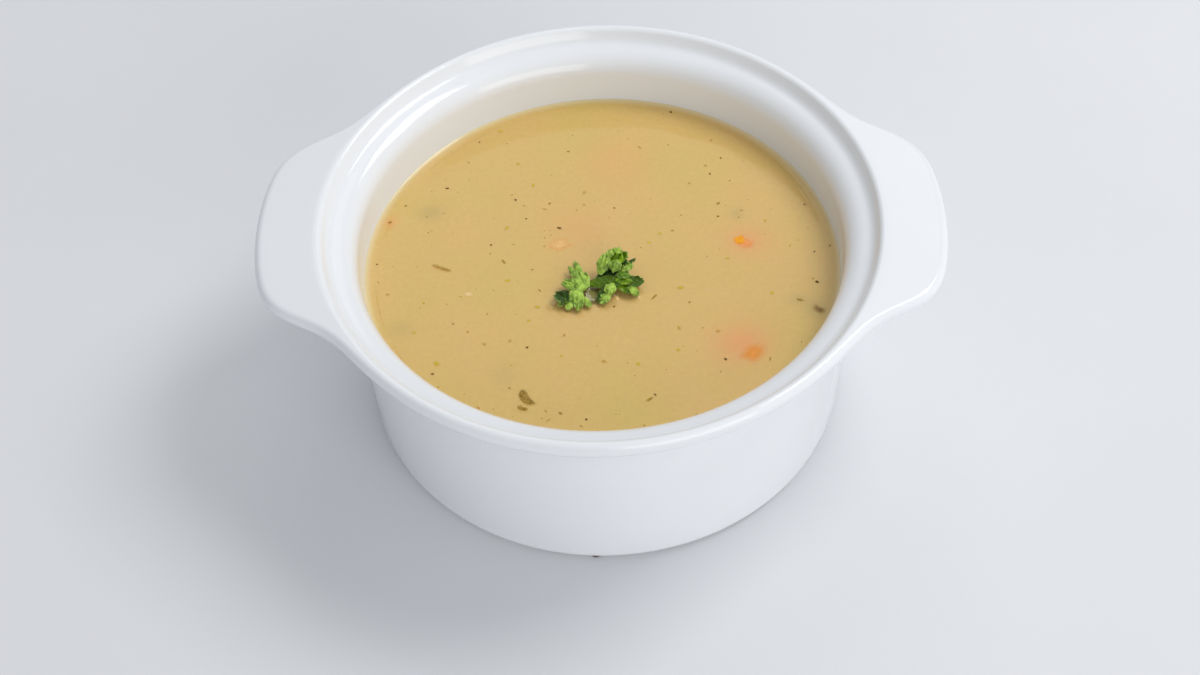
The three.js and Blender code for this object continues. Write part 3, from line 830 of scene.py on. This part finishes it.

# Each lobe's root and tip from the axis and the soup's surface, width, arch over its line, roll about it,
# cup of its sides, pleats at its end, 1 where its pale side faces up, and how light it is, which is its
# own tone together with painted light and shade of where it lies.
LOBES = [
    (-3.9, -6.5, 2.2, -6.5, 0.1, 1.6, 1.7, 22, 30, -80, 1, 1, 0.85),
    (-4.7, -7.6, 2.3, -7.6, -1.5, 1.7, 1.8, 20, 10, -80, 1, 1, 0.6),
    (-3.4, -8.2, 2.0, -4.9, -3.9, 2.2, 3.1, 40, 16, -70, 2, 1, 0.9),
    (-4.4, -9.2, 2.5, -9.3, -6.3, 1.8, 3.2, 26, 0, -30, 3, 1, 0.7),
    (-4.2, -8.4, 2.7, -7.0, -6.3, 2.7, 1.8, 30, 0, -60, 1, 1, 0.8),
    (-3.3, -5.9, 1.7, -5.4, -10.3, 2.8, 3.4, 30, 0, -60, 2, 1, 0.9),
    (-6.4, -11.2, 1.6, -11.2, -10.8, 2.1, 4.8, -60, -10, 70, 3, 0, 0.06),
    (-8.2, -11.4, 1.2, -9.9, -13.2, 0.9, 1.6, 50, 0, -60, 1, 1, 0.6),
    (-6.6, -11.6, 1.6, -8.0, -14.3, 0.8, 2.0, 60, 0, -70, 1, 1, 0.85),
    (-4.8, -9.2, 2.5, -7.4, -12.4, 1.7, 2.8, 80, 0, -90, 2, 1, 0.75),
    (-4.8, -9.6, 2.7, -5.5, -14.9, 0.8, 2.4, 40, 0, -50, 2, 1, 0.8),
    (-4.1, -11.0, 1.5, -2.6, -13.4, 0.7, 1.7, 40, 0, -50, 1, 1, 1.0),
    (-3.3, -6.8, 1.3, 5.6, -7.2, 2.5, 3.4, 26, -14, -36, 1, 0, 0.3),
    (3.2, -7.0, 2.9, 7.2, -7.4, 2.6, 2.5, 30, -10, -30, 2, 0, 1.0),
    (4.2, -6.9, 2.5, 9.9, -6.9, 1.9, 3.4, -30, 0, 60, 1, 0, 0.24),
    (2.8, -7.5, 1.9, 8.5, -9.8, 0.9, 2.7, 26, 0, -50, 2, 0, 0.5),
    (6.2, -8.4, 1.8, 8.3, -10.3, 0.6, 2.1, 120, 0, -90, 1, 1, 0.95),
    # Very dark tone: the lobe's own dark upper side with painted shade, where it lies in shade.
    (-1.0, -6.0, 1.8, 4.3, -3.6, 3.1, 4.6, -44, 0, 40, 2, 0, 0.03),
    (-0.5, -4.9, 2.3, 1.3, -1.0, 5.7, 3.5, 30, 16, -60, 3, 1, 0.9),
    (2.2, -3.6, 3.7, 4.0, -0.5, 6.3, 4.6, -40, 0, 50, 3, 0, 1.0),
    (1.8, -2.3, 5.3, 2.5, -0.6, 6.2, 2.0, 70, 0, -60, 2, 1, 0.8),
    (3.6, -1.6, 5.9, 4.3, -0.3, 6.3, 2.6, 90, 0, -50, 2, 1, 1.0),
    (4.1, -3.0, 4.0, 5.9, -1.0, 5.8, 2.2, -40, 10, 60, 1, 0, 0.5),
    (3.8, -2.9, 4.9, 2.7, -5.7, 3.8, 3.4, 120, 0, -60, 2, 1, 0.45),
    (3.4, -4.6, 2.9, 5.8, -2.4, 5.1, 2.4, -30, 0, 40, 1, 0, 0.1),
    (4.6, -4.9, 3.5, 7.5, -3.7, 4.2, 2.4, 70, 0, -60, 2, 1, 0.7),
    (5.4, -4.1, 3.6, 7.9, -1.8, 4.2, 1.6, 20, 30, -30, 1, 0, 0.1),
    (3.4, -5.6, 3.1, 6.8, -6.6, 3.4, 2.8, 60, 0, -50, 2, 1, 0.15),
    (2.6, -7.8, 2.5, 1.5, -10.8, 1.5, 3.0, 90, 0, -60, 2, 1, 0.9),
    (2.0, -9.9, 1.6, -0.3, -12.6, 0.7, 2.6, 60, 0, -60, 2, 1, 0.85),
    # Dark tone: this lobe is partly painted shade, the shadow side of the stalk below the blade.
    (0.6, -8.0, 1.9, -0.8, -12.2, 0.7, 1.5, 20, 0, -30, 1, 0, 0.1),
]


def lobe_axes(root, tip, roll):
    """Unit directions of a lobe along its line, to its side and out of its face, and its length. The side
    is level before it is turned about the line by the roll."""
    along = tip - root
    reach = np.linalg.norm(along)
    along = along / reach
    side = np.cross(along, [0.0, 0.0, 1.0])
    side /= np.linalg.norm(side)
    turn = -np.radians(roll)
    side = side * np.cos(turn) + np.cross(along, side) * np.sin(turn)
    return along, side, np.cross(side, along), reach


def pleat_wave(v, pleats):
    """A cosine across the lobe with a crest for every pleat, or 1 all over where there is just one."""
    return np.cos(np.pi * pleats * (v + 2)) if pleats > 1 else np.ones(v.shape)


def lobe_outline(u, v, root, reach, width, pleats):
    """How far along a lobe each place lies, and half its width there. Its end is rounded, notched at the
    pleats and cut into teeth by the size of a cosine in v. Its sides waver by a sine in u."""
    notches = NOTCH_DEPTH * (1 - pleat_wave(v, pleats))
    teeth = 2 - 2 * np.abs(np.cos(np.pi * TEETH_PER_MM * width * v + root[0]))
    share = u * (1 - END_ROUNDING * np.abs(v) ** 3 - notches - TOOTH_DEPTH * teeth * u ** 3)
    widening = (1 - ROOT_SHARE) * np.sin(0.5 * np.pi * np.minimum(u / FULL_WIDTH_AT, 1))
    narrowing = END_NARROWING * np.maximum(u - FULL_WIDTH_AT, 0) / (1 - FULL_WIDTH_AT)
    waver = 1 + SIDE_DEPTH * u * np.sin(2 * np.pi * u * reach / SIDE_WAVE + 5 * root[1])
    return share, 0.5 * width * (ROOT_SHARE + widening - narrowing) * waver


def lobe_rise(u, v, root, reach, width, pleats, half):
    """Height of a lobe's folds, ruffles, crimps, frills and bulges, sine waves in u and v that grow to
    its end or sides. The root's x or y shifts each, so that no two lobes are alike."""
    phase = RUFFLE_SHIFT * np.sign(v) + 3 * root[0]
    folds = (pleats > 1) * PLEAT_HEIGHT * half * u * pleat_wave(v, pleats)
    ruffles = RUFFLE_HEIGHT * width * u ** 1.5 * v ** 2 * np.sin(RUFFLE_WAVES * u + phase)
    crimps = np.sin(2 * np.pi * u * reach / CRIMP_WAVE + phase) * u * np.abs(v) ** 2.5
    frills = FRILL_HEIGHT * width * u ** 4 * np.sin(FRILL_WAVES * v + 3 * root[1])
    across = np.sin(2 * np.pi * v * half / BULGE_SPAN + 4 * root[1])
    bulges = BULGE_HEIGHT * across * np.sin(2 * np.pi * u * reach / BULGE_SPAN + 7 * root[0])
    return folds + ruffles + CRIMP_HEIGHT * width * crimps + frills + bulges


def lobe_surface(lobe, u, v):
    """Middle surface of a lobe, u from 0 at its root to 1 at its tip and v from -1 to 1 across it. It
    follows a circular arc over its line, its sides follow a second arc, and the rise is added to it."""
    root, tip = np.array(lobe[0:3]), np.array(lobe[3:6])
    width, arch, roll, cup, pleats = lobe[6:11]
    along, side, lift, reach = lobe_axes(root, tip, roll)
    share, half = lobe_outline(u, v, root, reach, width, pleats)
    half_arch, bend = np.radians(arch) / 2, np.radians(cup) / 2
    rise = half / bend * (1 - np.cos(bend * v)) + lobe_rise(u, v, root, reach, width, pleats, half)
    turn = half_arch * (2 * share - 1)
    arc_radius = reach / (2 * np.sin(half_arch))
    forward = arc_radius * (np.sin(turn) + np.sin(half_arch)) + rise * np.sin(turn)
    upward = arc_radius * (np.cos(turn) - np.cos(half_arch)) + rise * np.cos(turn)
    sideways = half / bend * np.sin(bend * v)
    directions = forward[..., None] * along + upward[..., None] * lift + sideways[..., None] * side
    return root + [0.0, 0.0, SOUP_LEVEL] + directions


def closed_sheet(top, bottom):
    """Points and faces of the solid between two grids of the same size: quads over both, and a strip of
    quads that joins their outermost points."""
    rows, columns = top.shape[:2]
    size = rows * columns
    index = np.arange(size).reshape(rows, columns)
    corners = (index[:-1, :-1], index[:-1, 1:], index[1:, 1:], index[1:, :-1])
    upper = np.stack(corners, axis=-1).reshape(-1, 4)
    rim = np.concatenate([index[0, :-1], index[:-1, -1], index[-1, :0:-1], index[:0:-1, 0]])
    onward = np.roll(rim, -1)
    sides = np.stack([onward, rim, rim + size, onward + size], axis=-1)
    points = np.concatenate([top.reshape(-1, 3), bottom.reshape(-1, 3)])
    return points, np.concatenate([upper, upper[:, ::-1] + size, sides])


def bell(value, middle, width):
    """A bell-shaped line: e to the minus square of the distance from its middle, counted in widths."""
    return np.exp(-((value - middle) / width) ** 2)


def fanned(u, v):
    """How far a place lies across the leaf, counted in lines that fan out from the root."""
    return np.abs(v) / (VEIN_FAN + (1 - VEIN_FAN) * u)


def ribs(u, v):
    """How strongly a vein shows: bell-shaped lines in the middle and to both sides, fading to the tip."""
    side_veins = SIDE_VEIN_SHARE * bell(fanned(u, v), SIDE_VEIN_AT, VEIN_WIDTH)
    return (bell(v, 0, VEIN_WIDTH) + side_veins) * (1 - 0.5 * u)


def creases(u, v):
    """How deep the valleys between the veins are, by bell-shaped lines half way between them."""
    lines = sum(bell(fanned(u, v), place, CREASE_WIDTH) for place in CREASES_AT)
    return np.minimum(lines * np.minimum(3 * u, 1), 1)


def twice(values):
    """Values of a grid for all points of a closed sheet, the same on both of its faces."""
    return np.concatenate([values.ravel(), values.ravel()])


def lobe_solid(lobe):
    """A lobe's closed points and faces, and the marks that its material reads. Both faces lie half the
    thickness away, less at the edges. Veins stand out of the pale side and sink into the dark one."""
    u, v = np.meshgrid(np.linspace(0, 1, LEAF_ROWS), np.linspace(-1, 1, LEAF_COLUMNS), indexing="ij")
    pale_up, tone = lobe[11:]
    middle = lobe_surface(lobe, u, v)
    normal = np.cross(np.gradient(middle, axis=1), np.gradient(middle, axis=0))
    normal /= np.linalg.norm(normal, axis=-1, keepdims=True)
    rim = np.maximum(np.abs(v) ** 6, u ** 12)
    vein, crease = ribs(u, v), creases(u, v)
    relief = (VEIN_HEIGHT * vein - CREASE_DEPTH * crease) * (pale_up - 0.5)
    half = 0.5 * LEAF_THICKNESS * (1 - EDGE_THINNING * rim)
    top = middle + normal * (half + relief)[..., None]
    bottom = middle - normal * (half - relief)[..., None]
    points, faces = closed_sheet(top, bottom)
    points[:, 2] = np.maximum(points[:, 2], SOUP_LEVEL + LEAF_FLOOR)
    # The crease mark carries painted shade in the valleys, and the rim mark a painted highlight on the
    # edges.
    marks = {
        "pale": np.concatenate([np.full(u.size, pale_up), np.full(u.size, 1 - pale_up)]),
        # The tone holds painted light and shade as well as the lobe's own tone.
        "tone": twice(tone * (1 + ROOT_GLOW * (1 - u) ** 2)),
        "rib": twice(vein),
        "crease": twice(crease),
        "rim": twice(rim),
    }
    return points, faces, marks


def leaf_material():
    """Deep green above, pale yellow-green on the ribbed side, both lighter by the lobe's tone, which
    holds painted light and shade besides the lobe's own tone. Pale veins, creases darkened by painted
    shade, rims lightened by a painted highlight, and small blisters whose hollows are darkened by painted
    shade. Some light passes through the leaf."""
    material, tree, shader = new_material("parsley_leaf")
    tone, pale = attribute(tree, "tone"), attribute(tree, "pale")
    upper = mixed(tree, tone, UPPER_DARK, UPPER_LIGHT)
    lower = mixed(tree, tone, LOWER_DARK, LOWER_LIGHT)
    patches = ranged(tree, noise(tree, scale=560.0, detail=2.0), 0.36, 0.62, 0.62, 0.0)
    colour = mixed(tree, patches, mixed(tree, pale, upper, lower), LEAF_PATCH)
    blister = noise(tree, scale=1300.0, detail=3.0)
    # Painted shade: darker green where the blister noise, which also raises the bump, is low.
    colour = mixed(tree, ranged(tree, blister, 0.3, 0.7, 0.25, 0.0), colour, BLISTER_HOLLOW_SHADE)
    # Pale veins, painted shade in the creases and a painted highlight on the rims.
    for name, (strength, tint) in LEAF_MARKS_SHADE_AND_HIGHLIGHT.items():
        shown = ranged(tree, pale, 0, 1, UPPER_MARKS * strength, strength)
        weight = add_node(tree, "ShaderNodeMath", {0: attribute(tree, name), 1: shown})
        weight.operation = "MULTIPLY"
        colour = mixed(tree, weight.outputs["Value"], colour, tint)
    set_inputs(tree, shader, {
        "Base Color": colour,
        "Roughness": ranged(tree, pale, 0, 1, 0.3, 0.24),
        "Specular IOR Level": 0.26,
        "Subsurface Weight": 0.25,
        "Subsurface Radius": (0.0004, 0.0007, 0.0002),
        "Normal": bumped(tree, blister, distance=0.0004, strength=0.8),
    })
    return material


solids = [lobe_solid(lobe) for lobe in LOBES]
starts = np.cumsum([0] + [len(points) for points, _, _ in solids[:-1]])
leaf_points = np.concatenate([points for points, _, _ in solids])
leaf_faces = np.concatenate([faces + start for (_, faces, _), start in zip(solids, starts)])
parsley = mesh_piece("parsley_leaves", leaf_points, leaf_faces.tolist(), leaf_material())
for name in ("pale", "tone", "rib", "crease", "rim"):
    set_values(parsley, name, np.concatenate([marks[name] for _, _, marks in solids]))
dress(parsley, "parsley_sprig")

# The wet film: a thin clear skin of broth that hangs from the left leaflet down to the soup and a little
# way up the right one. It is glossy and lets the soup below it show. Its dark olive brown is partly the
# broth's own colour and partly painted shade of the leaflets, with a painted reflection of their green.
FILM_LEFT = -4.5
FILM_RIGHT = -0.3
FILM_FRONT = -12.3
FILM_BACK = -6.4
FILM_RISE = 1.5
FILM_SAG = 1.3
FILM_RIGHT_RISE = 0.5
FILM_SWAY = 0.4
FILM_SKIRT = 0.25
FILM_SKIN = 0.02
FILM_DEPTH = 0.1
FILM_FADE = 5
FILM_GRID = 40
FILM_COVER = 0.88
# The film's colours hold painted shade of the leaflets and a painted reflection of their green.
FILM_DARK_SHADED = (118, 112, 52)
FILM_LIGHT_SHADED = (150, 142, 84)


def film_sheet():
    """Height over s from left to right and t from front to back: the rise times a power of 1-s and a
    smaller one times s^6, times the root of a sine over t. Gives also how far inside each point lies."""
    steps = np.linspace(0, 1, FILM_GRID)
    s, t = np.meshgrid(steps, steps, indexing="ij")
    hang = FILM_RISE * (1 - s) ** FILM_SAG + FILM_RIGHT_RISE * s ** 6
    height = hang * np.sqrt(np.sin(np.pi * t)) - FILM_SKIRT * np.abs(2 * t - 1) ** 6
    x = between(FILM_LEFT, FILM_RIGHT, s) + FILM_SWAY * np.sin(np.pi * t)
    y = between(FILM_FRONT, FILM_BACK, t)
    top = np.stack([x, y, SOUP_LEVEL + height + FILM_SKIN], axis=-1)
    bottom = np.stack([x, y, np.full(x.shape, SOUP_LEVEL - FILM_SKIRT - FILM_DEPTH)], axis=-1)
    inside = np.minimum(1, FILM_FADE * np.minimum(np.minimum(s, 1 - s), np.minimum(t, 1 - t)))
    return *closed_sheet(bottom, top), twice(inside)


def film_material():
    """Brown-grey broth, darkened by painted shade of the leaflets and greened by a painted reflection of
    them, very smooth, with slow ripples, part clear and clearer towards its edges.
    """
    material, tree, shader = new_material("wet_film")
    shade = ranged(tree, noise(tree, scale=700.0, detail=2.0), 0.35, 0.65)
    ripple = noise(tree, scale=900.0, detail=1.0)
    set_inputs(tree, shader, {
        "Base Color": mixed(tree, shade, FILM_DARK_SHADED, FILM_LIGHT_SHADED),
        "Alpha": ranged(tree, attribute(tree, "inside"), 0, 1, 0, FILM_COVER),
        "Normal": bumped(tree, ripple, distance=0.0002, strength=0.4),
        "Roughness": 0.08,
        "Specular IOR Level": 0.3,
    })
    return material


film_points, film_faces, film_inside = film_sheet()
film = mesh_piece("wet_film", film_points, film_faces.tolist(), film_material())
set_values(film, "inside", film_inside)
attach(film, "root")

# Glint beads: small white pebbles that are painted highlights, the window's glints on the wet film where
# it hangs from the left leaflet. Each is a tiny pebble, with its values in the same order as those of the
# soup's bits.
GLINT_BEADS = [
    (-2.9, -8.2, 0.7, 0.45, 2.3, 70, 0.0),
    (-3.2, -8.9, 0.6, 0.5, 2.4, 40, 0.0),
    (-3.0, -9.5, 0.8, 0.4, 2.3, 80, 0.0),
    (-3.5, -9.8, 0.8, 0.5, 2.6, 60, 0.0),
    (-3.3, -10.5, 0.7, 0.4, 2.3, 90, 0.0),
    (-3.6, -11.1, 0.7, 0.5, 2.2, 50, 0.0),
]
# White pebbles as painted highlights: the glints on the film.
glint_white = crumb_material("glint_white", (250, 248, 232), (226, 222, 196), soft=0.8, cover=0.85, rough=0.15)
pebbles("glint_beads", GLINT_BEADS, glint_white, uneven=0.08, seed=36, sides=SPECK_SIDES, rows=SPECK_ROWS)

# The dried drip: a dark brown drop of broth that ran down the bowl's front and under its foot, where it
# dried to a flat glossy crumb.
DRIP_PLACE = (-2.45, -55.2, 0.36)
DRIP_SIZE = (2.0, 0.9, 0.6)
DRIP_SIDES = 24
DRIP_ROWS = 14
DRIP_POINTEDNESS = 0.3
DRIP_DARK = (58, 30, 26)
DRIP_LIGHT = (92, 54, 40)


def drip_points():
    """A closed flat drop: half its size times sin(p) cos(a), sin(p) sin(a) and cos(p), with its ends
    drawn out by the cube of cos(a)."""
    a = np.linspace(0, 2 * np.pi, DRIP_SIDES, endpoint=False)[None, :]
    p = np.linspace(CAP_ANGLE, np.pi - CAP_ANGLE, DRIP_ROWS)[:, None]
    unit = np.stack([
        np.sin(p) * between(np.cos(a), np.cos(a) ** 3, DRIP_POINTEDNESS),
        np.sin(p) * np.sin(a),
        np.cos(p) + 0 * a,
    ], axis=-1)
    return np.array(DRIP_PLACE) + 0.5 * np.array(DRIP_SIZE) * unit


def drip_material():
    """Dark red-brown dried broth, glossy where it is thick."""
    material, tree, shader = new_material("dried_drip")
    spot = ranged(tree, noise(tree, scale=1500.0, detail=2.0), 0.35, 0.65)
    set_inputs(tree, shader, {
        "Base Color": mixed(tree, spot, DRIP_DARK, DRIP_LIGHT),
        "Roughness": ranged(tree, spot, 0, 1, 0.25, 0.45),
    })
    return material


drip_faces = ringed_faces(1, DRIP_ROWS, DRIP_SIDES)
drip = mesh_piece("dried_drip", drip_points().reshape(-1, 3), drip_faces, drip_material())
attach(drip, "root")
